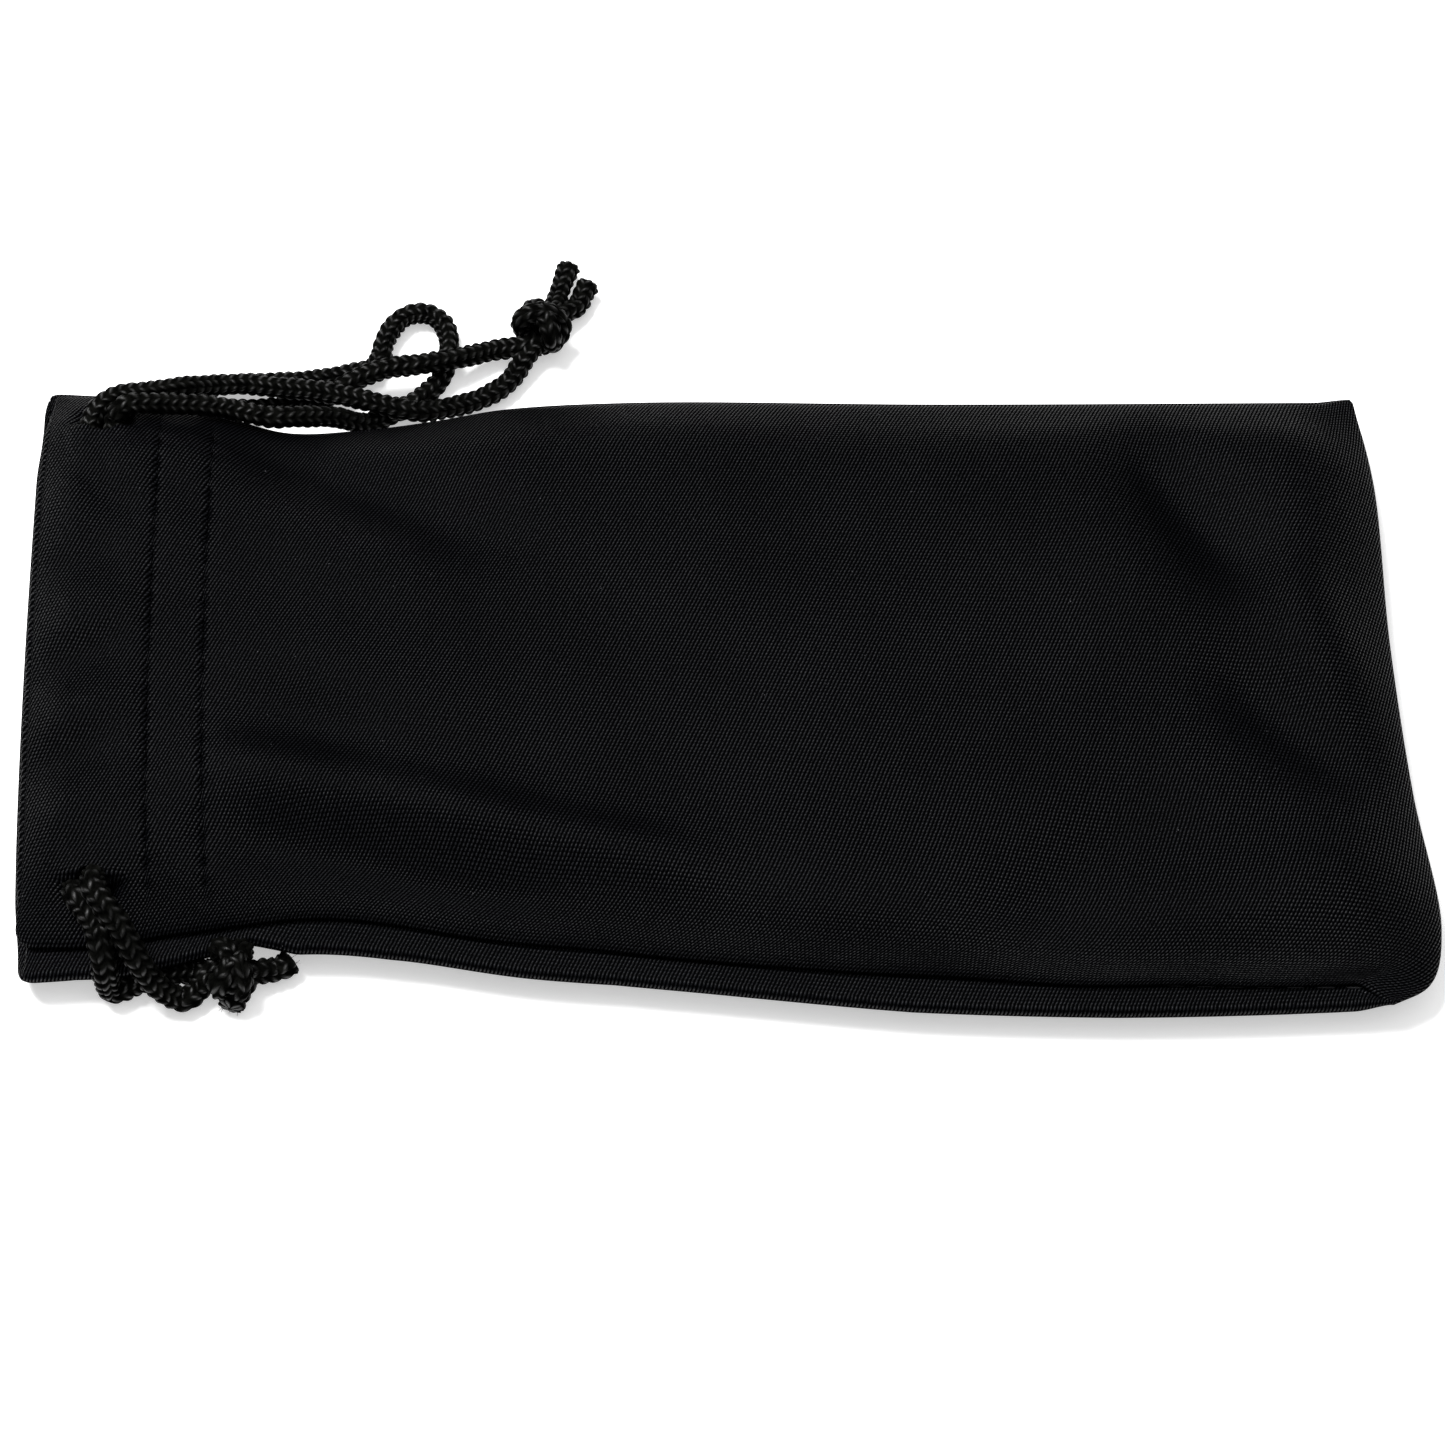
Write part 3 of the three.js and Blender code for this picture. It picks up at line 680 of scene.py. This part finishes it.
def stitch_dent(s, across, side):
    """How far the two rows of stitches pull the cloth in, deepest where the needle went through."""
    puckers = 0.5 + 0.5 * np.cos(2 * math.pi * across / STITCH_PITCH)
    uneven = 1.0 + 0.3 * np.sin(2 * math.pi * across / (5.3 * STITCH_PITCH) + 40 * s / LENGTH)
    narrow = bump(s, CASING_ROW, STITCH_GROOVE) + bump(s, HEM_ROW, STITCH_GROOVE)
    wide = bump(s, CASING_ROW, STITCH_PUCKER) + bump(s, HEM_ROW, STITCH_PUCKER)
    groove = (0.20 + 0.36 * puckers) * uneven * MM * narrow * side
    return groove + (0.10 + 0.16 * puckers) * MM * wide * side


def side_share(d_near, d_far):
    """0 beside the side seams and 1 on the open face, where the rows of stitches run."""
    return smooth(np.minimum(d_near, d_far), 2 * MM, 6 * MM)


CREST_Z = HEIGHT - 0.3 * MM
MOUTH_ROLL = 2.2 * MM  # how far the front dips at the mouth edge
MOUTH_ROLL_REACH = 5.5 * MM


def outer_front(s, d_near, d_far, x, y):
    """Height of the outside of the front, without the swell beside the side seams."""
    share = round_rise(d_near, FRONT_RISE["near"]) * round_rise(d_far, FRONT_RISE["far"])
    share = share * round_rise(LENGTH - s, FRONT_RISE["end"])
    relief = sum(fold(x, y, *f) for f in FRONT_FOLDS)
    relief = relief + MOUTH_FOLD_SHARE * sum(fold(x, y, *f) for f in MOUTH_FOLDS)
    relief = relief + 0.45 * MM * low_noise(x, y, 26 * MM, 3.0) + 0.12 * MM * low_noise(x, y, 9 * MM, 8.0)
    relief = relief - stitch_dent(s, d_near, side_share(d_near, d_far))
    top = CREST_Z + relief - MOUTH_ROLL * (1 - round_rise(s, MOUTH_ROLL_REACH))
    return SEAM_Z + (top - SEAM_Z) * share


def outer_back(s, d_near, d_far, x, y):
    """Height of the outside of the back, which lies on the table."""
    share = round_rise(d_near, BACK_RISE["near"]) * round_rise(d_far, BACK_RISE["far"])
    share = share * round_rise(LENGTH - s, BACK_RISE["end"])
    rise = 0.25 * MM * np.maximum(0, low_noise(x, y, 22 * MM, 5.0))
    rise = rise + stitch_dent(s, d_near, side_share(d_near, d_far))
    return SEAM_Z + (rise + 0.02 * MM - SEAM_Z) * share


OUTER = {"front": outer_front, "back": outer_back}
FACING = {"front": 1, "back": -1}  # up or down

# how far a turned-in layer is from the seam's height, as a share of the outer layer's distance,
# for a distance from the mouth
HEM_SHARE = {
    "front": [(0, 0.74), (2.5, 0.45), (4, 0.38), (13, 0.38), (CASING_ROW / MM, 0.84),
              (HEM_ROW / MM, 0.84), (HEM_DEPTH / MM, 0.80)],
    "back": [(0, 0.66), (2.5, 0.36), (4, 0.33), (13, 0.33), (CASING_ROW / MM, 0.72),
             (HEM_ROW / MM, 0.72), (HEM_DEPTH / MM, 0.66)],
}


def hem_share(side, s, edge):
    """That share at a distance s from the mouth. It is nearer 1 close to the side seams."""
    share = np.interp(s / MM, *zip(*HEM_SHARE[side]))
    return 1 - (1 - share) * (0.35 + 0.65 * smooth(edge, 1 * MM, 12 * MM))


HOLES = {  # the middle of each slot in the front, and its half sizes along and across the pouch
    "far": (-80.9 * MM, 36.3 * MM, 2.3 * MM, 1.4 * MM),
    "near": (-77.4 * MM, -30.9 * MM, 2.0 * MM, 1.3 * MM),
}
LANE = 3.6 * MM  # half width of the cloth that the two strands at a hole lift and press
LIFTED_Z = 12.0 * MM
PRESSED_Z = 8.0 * MM
HOLE_STEP = 0.6 * MM  # the cloth goes from lifted to pressed over this much each way


def hole_shape(x, y, z):
    """Lifts the cloth over the cords on the inner side of each hole, and presses it down outside."""
    for name, (cx, cy, _, _) in HOLES.items():
        out = 1 if name == "far" else -1
        lane = np.exp(-(((x - cx) / LANE) ** 4))
        t = (y - cy) * out
        outside = smooth(t, -HOLE_STEP, HOLE_STEP)
        lifted = lane * smooth(t, -14 * MM, -5 * MM) * (1 - outside)
        z = z + lifted * np.maximum(0, LIFTED_Z - z)
        pressed = lane * outside * (1 - smooth(t, 2.0 * MM, 5.5 * MM))
        z = z - pressed * np.maximum(0, z - PRESSED_Z)
    return z


def graded(points):
    """Stations from a list of (position, spacing) that get denser where the spacing is small."""
    at, made = points[0][0], [points[0][0]]
    place, gap = zip(*points)
    while at < place[-1] - 1e-9:
        at = min(at + float(np.interp(at, place, gap)), place[-1])
        made.append(at)
    if made[-1] - made[-2] < 0.3 * gap[-1]:
        made.pop(-2)
    return np.array(made)


def strip_rows():
    """The strip's rows: side of the pouch, layer, distance from the mouth, and turn at the lip."""
    hem = graded([(0, 0.6 * MM), (HEM_DEPTH, 0.7 * MM)])
    body = graded([(0, 0.3 * MM), (2 * MM, 0.4 * MM), (14 * MM, 0.4 * MM), (15.5 * MM, 0.22 * MM),
                   (25 * MM, 0.22 * MM), (34 * MM, 0.75 * MM), (LENGTH - 16 * MM, 0.75 * MM),
                   (LENGTH - 3 * MM, 0.3 * MM), (LENGTH, 0.02 * MM)])
    lip = np.linspace(0, math.pi, 9)[1:-1]
    rows = [("front", "hem", s, 0.0) for s in hem[::-1]]
    rows += [("front", "lip", 0.0, a) for a in lip[::-1]]
    rows += [("front", "outer", s, 0.0) for s in body]
    rows += [("back", "outer", s, 0.0) for s in body[::-1][1:]]
    rows += [("back", "lip", 0.0, a) for a in lip]
    rows += [("back", "hem", s, 0.0) for s in hem]
    return rows


def face_stations():
    """Distances across the face, from its near edge to its far one."""
    return graded([(0, 0.15 * MM), (2.5 * MM, 0.4 * MM), (14 * MM, 0.45 * MM), (20 * MM, 0.7 * MM),
                   (WIDTH - 20 * MM, 0.7 * MM), (WIDTH - 14 * MM, 0.45 * MM),
                   (WIDTH - 2.5 * MM, 0.4 * MM), (WIDTH, 0.15 * MM)])


# stations beyond the face at each side: shares of the quarter turn, then of the allowance
LIP_STATIONS = np.linspace(0, 1, 7)[1:]
ALLOWANCE_STATIONS = np.linspace(0, 1, 5)[1:]
TAIL = len(LIP_STATIONS) + len(ALLOWANCE_STATIONS)


def fullness(kind, s):
    """1, falling to 0 over the last of the outer layer's length, where the strip is folded."""
    return smooth(LENGTH - s, 0, 5 * MM) if kind == "outer" else 1.0


def side_push(side, kind, s, v, edge):
    """How far each point of the face moves along y, so that its two sides sit inside the outline.
    The back's near side moves out instead, by its bulge."""
    full = fullness(kind, s)
    if side == "front":
        inset = FRONT_INSET * full
        groove = 0.7 * MM * full * float(low_noise(np.array(s), np.array(0.0), 21 * MM, 2.0))
    else:
        inset = 0.0
        x_near = float(np.interp(s / LENGTH, (0, 1), (NEAR[0, 0], NEAR[-1, 0]))) / MM
        groove = -float(np.interp(x_near, *zip(*BACK_BULGE))) * MM * full
    inside = HEM_INSET * (smooth(s, 0, 2 * MM) if kind == "hem" else 0)
    push = np.where(v < 0.5, inset + groove + inside, -(inset * FAR_INSET + inside))
    return push * (1 - smooth(edge, 0, 12 * MM))


def face_row(side, kind, s, angle, face):
    """The points of one row across the face, between the two lips."""
    v = face / WIDTH
    mouth_in = np.interp(face / MM, *zip(*MOUTH_IN)) * MM if side == "front" else BACK_MOUTH_IN
    xy = plan((s + mouth_in * (1 - smooth(s, 0, 20 * MM))) / LENGTH + 0 * v, v)
    x, y = xy[:, 0], xy[:, 1]
    d_near, d_far = face, WIDTH - face
    edge = np.minimum(d_near, d_far)
    z = OUTER[side](s, d_near, d_far, x, y)
    if side == "front" and kind != "hem":
        z = hole_shape(x, y, z)
    step = 0.0
    if kind == "hem":
        z = SEAM_Z + (z - SEAM_Z) * hem_share(side, s, edge)
    elif kind == "lip":
        outer, inner = z, SEAM_Z + (z - SEAM_Z) * hem_share(side, 0.0, edge)
        z = inner + (outer - inner) * (0.5 + 0.5 * math.cos(angle))
        step = -0.55 * np.abs(outer - inner) * math.sin(angle)
    z = z + FACING[side] * LIP * fullness(kind, s) * (1 - round_rise(edge, LIP_REACH))
    return np.column_stack([x + step, y + side_push(side, kind, s, v, edge), z])


def side_points(at, side, full, outward):
    """The row's points beyond one end of its face: a quarter turn to the seam, then the allowance."""
    turn = FACING[side]
    seam_z = SEAM_Z + turn * ALLOWANCE_Z * full
    r = (at[2] - seam_z) * turn
    points = []
    for share in LIP_STATIONS:
        a = math.pi / 2 * share
        out = r * (1 - math.cos(a))
        points.append((at[0], at[1] + outward * max(out, 0), seam_z + turn * r * (1 - math.sin(a))))
    for share in ALLOWANCE_STATIONS:
        out = r + share * ALLOWANCE * full
        points.append((at[0], at[1] + outward * max(out, 0), seam_z))
    return points


def flat_places(verts):
    """Where each point lies when the cloth is flat: mean distances along its rows and columns."""
    down = np.linalg.norm(np.diff(verts, axis=0), axis=2).mean(axis=1)
    over = np.linalg.norm(np.diff(verts, axis=1), axis=2).mean(axis=0)
    x = np.concatenate([[0], np.cumsum(down)])
    y = np.concatenate([[0], np.cumsum(over)])
    return np.stack(np.broadcast_arrays(x[:, None], y[None, :]), axis=-1)


def cloth_grid(rows, face):
    """The strip's points, row by row, each from the near allowance to the far one."""
    verts = np.zeros((len(rows), len(face) + 2 * TAIL, 3))
    for i, (side, kind, s, angle) in enumerate(rows):
        row = face_row(side, kind, s, angle, face)
        full = fullness(kind, s)
        verts[i, TAIL:-TAIL] = row
        verts[i, :TAIL] = side_points(row[0], side, full, 1)[::-1]
        verts[i, -TAIL:] = side_points(row[-1], side, full, -1)
    return verts


def cut_holes(verts, faces, outer_front_points):
    """Drops the faces inside each slot, and moves the points at its rim onto a smooth oval."""
    keep = np.ones(len(faces), bool)
    above = verts[:, 2] > SEAM_Z + 1.5 * MM
    for cx, cy, half_x, half_y in HOLES.values():
        offset = (verts[:, :2] - (cx, cy)) / (half_x, half_y)
        ring = np.hypot(offset[:, 0], offset[:, 1])
        inside = (ring < 1) & above & outer_front_points
        keep &= ~inside[faces].all(axis=1)
        edge = inside & (ring > 1e-6)
        verts[edge, :2] = (cx, cy) + offset[edge] / ring[edge, None] * (half_x, half_y)
    return faces[keep]


def bend(obj, side):
    """Bakes the object's placing into its points."""
    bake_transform(obj)


def columns_of(quads, count, columns):
    """Which column of the strip each face of the thickened cloth belongs to."""
    return ((quads % count) % columns).min(axis=1)


def thickened(cloth):
    """The sheet with the cloth's thickness: points, their normals, quads, and each corner's UV."""
    thick = cloth.modifiers.new("thick", "SOLIDIFY")
    thick.thickness = LAYER
    thick.offset = -1
    thick.use_rim = True
    made = cloth.evaluated_get(bpy.context.evaluated_depsgraph_get()).to_mesh()
    points = read(made.vertices, "co", 3)
    normals = read(made.vertices, "normal", 3)
    quads = read(made.loops, "vertex_index", 1, np.int32).reshape(-1, 4)
    corners = read(made.uv_layers[UV_MAP].data, "uv", 2).reshape(-1, 4, 2)
    bpy.data.objects.remove(cloth)
    return points, normals, quads, corners


def add_cloth():
    """The cloth as two halves that shade as one, with its stitches, and the strip's flat size."""
    rows, face = strip_rows(), face_stations()
    grid = cloth_grid(rows, face)
    columns = grid.shape[1]
    uv = flat_places(grid)
    front_rows = np.array([side == "front" and kind == "outer" for side, kind, *_ in rows])
    face_columns = np.zeros(columns, bool)
    face_columns[TAIL:columns - TAIL] = True
    outer_front_points = (front_rows[:, None] & face_columns[None, :]).ravel()
    verts = grid.reshape(-1, 3).copy()
    faces = cut_holes(verts, grid_faces(len(rows), columns), outer_front_points)
    cloth = new_object("cloth", verts, faces, uv.reshape(-1, 2))
    points, normals, quads, corners = thickened(cloth)
    across = columns_of(quads, len(verts), columns)
    split = TAIL + int(np.searchsorted(face, WIDTH * 0.5))
    halves = {}
    for name, chosen in (("near", across < split), ("far", across >= split)):
        used, index = np.unique(quads[chosen], return_inverse=True)
        half = new_object(f"cloth_{name}", points[used], index.reshape(-1, 4))
        layer = half.data.uv_layers.new(name=UV_MAP)
        layer.data.foreach_set("uv", corners[chosen].ravel())
        half.data.normals_split_custom_set_from_vertices(normals[used])
        half.data.materials.append(CLOTH)
        halves[name] = half
    add_mouth_stitches(rows, face, grid)
    add_seam_stitches()
    return halves, (float(uv[-1, -1, 1]), float(uv[-1, -1, 0]))


# ---- sewing thread -------------------------------------------------------------------------------

STITCH_SIDE = 7 * MM  # the rows round the mouth stop this far from the side seams
STITCH_FILL = 0.72  # share of the pitch that a stitch shows
THREAD_R = 0.2 * MM
THREAD_LIFT = 0.13 * MM
THREAD_DIP = 0.55 * MM  # how far a stitch's ends go down into the cloth
THREAD_SIDES = 8


def threads(name, dashes):
    """Short lengths of sewing thread, each given as a line of points, as one mesh."""
    verts, faces, uv = [], [], []
    for line in dashes:
        side, up = frames_along(line)
        first = len(verts)
        far = lengths_along(line)
        for k in range(len(line)):
            taper = 0.55 if k in (0, len(line) - 1) else 1.0
            for m in range(THREAD_SIDES):
                a = 2 * math.pi / THREAD_SIDES * m
                verts.append(line[k] + THREAD_R * taper * (math.cos(a) * side[k] + math.sin(a) * up[k]))
                uv.append((a * THREAD_R, far[k]))
        faces += (grid_faces(len(line), THREAD_SIDES, wrap=True) + first).tolist()
        for ring in (first, first + THREAD_SIDES * (len(line) - 1)):
            faces += [(ring, ring + 1, ring + 2, ring + 3), (ring, ring + 3, ring + 4, ring + 7),
                      (ring + 4, ring + 5, ring + 6, ring + 7)]
    obj = new_object(name, verts, faces, uv)
    obj.data.materials.append(THREAD)
    return obj


def row_line(rows, grid, side, s):
    """The outer cloth's own points along a row across the pouch, a distance s from the mouth."""
    index = [i for i, row in enumerate(rows) if row[0] == side and row[1] == "outer"]
    index.sort(key=lambda i: rows[i][2])
    at = [rows[i][2] for i in index]
    k = int(np.searchsorted(at, s))
    t = (s - at[k - 1]) / (at[k] - at[k - 1])
    return grid[index[k - 1], TAIL:-TAIL] * (1 - t) + grid[index[k], TAIL:-TAIL] * t


def mouth_stitch(line, face, k, turn):
    """The k-th stitch of a row round the mouth, which follows the cloth's own line there."""
    span = np.linspace(0.5 - STITCH_FILL / 2, 0.5 + STITCH_FILL / 2, 9)
    d = (k + span) * STITCH_PITCH
    dash = np.column_stack([np.interp(d, face, line[:, m]) for m in range(3)])
    dip = THREAD_DIP * (np.abs(2 * (span - 0.5) / STITCH_FILL) ** 4)
    dash[:, 2] = 0.4 * dash[:, 2] + 0.6 * dash[4, 2] + turn * (THREAD_LIFT - dip)
    return dash


def add_mouth_stitches(rows, face, grid):
    """Two rows round the mouth, each with a front and a back run, and each run in two halves."""
    first = math.ceil(STITCH_SIDE / STITCH_PITCH)
    last = int((WIDTH - STITCH_SIDE) / STITCH_PITCH)
    for side, turn in FACING.items():
        for label, s in (("casing", CASING_ROW), ("hem", HEM_ROW)):
            line = row_line(rows, grid, side, s)
            dashes = {"near": [], "far": []}
            for k in range(first, last):
                dash = mouth_stitch(line, face, k, turn)
                dashes["near" if dash[4, 1] < SPLIT_Y else "far"].append(dash)
            for half, lines in dashes.items():
                obj = threads(f"{side}_{label}_stitches_{half}", lines)
                bend(obj, half)
                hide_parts(f"{side}_{label}_stitch")


def add_seam_stitches():
    """A row along each side seam, inside the pouch."""
    d = FRONT_INSET + LIP + 0.6 * MM
    lift = 0.1 * MM * np.sin(np.linspace(0, math.pi, 7))
    for half in ("near", "far"):
        v = np.full(7, d / WIDTH if half == "near" else 1 - d / WIDTH)
        lines = []
        for k in range(1, int((LENGTH - 8 * MM) / STITCH_PITCH)):
            s = (k + np.linspace(0.1, 0.9, 7)) * STITCH_PITCH + 2 * MM
            lines.append(np.column_stack([plan(s / LENGTH, v), SEAM_Z + lift]))
        obj = threads(f"{half}_seam_stitches", lines)
        bend(obj, half)
        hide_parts(f"{half}_seam_thread")


CLOTH_HALVES, FLAT_CLOTH = add_cloth()
for side, half in CLOTH_HALVES.items():
    bend(half, side)
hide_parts("front_panel", "back_panel", "front_mouth_hem", "back_mouth_hem",
            "near_seam_allowance")
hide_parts("far_seam_allowance")

# ---- floor and light ----------------------------------------------------------------------------

FLOOR_SIZE = 6
FLOOR_Z = -0.3 * MM
FLOOR_GREY = (0.88, 0.88, 0.88)
FLOOR_GLOW = 0.45
WHITE = (1, 1, 1, 1)
WORLD_LIGHT = 0.3
AIM = Vector((0, 0, 0.01))  # the lights point here
LIGHTS = [  # name, place, size, power
    ("key", (-0.38, 0.28, 1.06), 0.40, 23.5),
    ("top", (0.10, -0.10, 1.10), 0.8, 3.0),
]


def add_floor():
    bpy.ops.mesh.primitive_plane_add(size=FLOOR_SIZE, location=(0, 0, FLOOR_Z))
    floor = bpy.context.object
    floor.name = "floor"
    pale = Nodes("pale_floor").finish(Base_Color=FLOOR_GREY, Roughness=0.9, Specular_IOR_Level=0.1,
                                      Emission_Color=WHITE, Emission_Strength=FLOOR_GLOW)
    floor.data.materials.append(pale)


def add_light(name, place, size, power):
    data = bpy.data.lights.new(name, "AREA")
    data.shape = "SQUARE"
    data.size = size
    data.energy = power
    lamp = bpy.data.objects.new(name, data)
    lamp.location = place
    lamp.rotation_euler = (Vector(place) - AIM).to_track_quat("Z", "Y").to_euler()
    bpy.context.collection.objects.link(lamp)


def set_world():
    world = bpy.context.scene.world or bpy.data.worlds.new("world")
    bpy.context.scene.world = world
    world.use_nodes = True
    back = world.node_tree.nodes["Background"]
    back.inputs["Color"].default_value = WHITE
    back.inputs["Strength"].default_value = WORLD_LIGHT


add_floor()
set_world()
for light in LIGHTS:
    add_light(*light)
bpy.context.scene.view_settings.view_transform = "Standard"
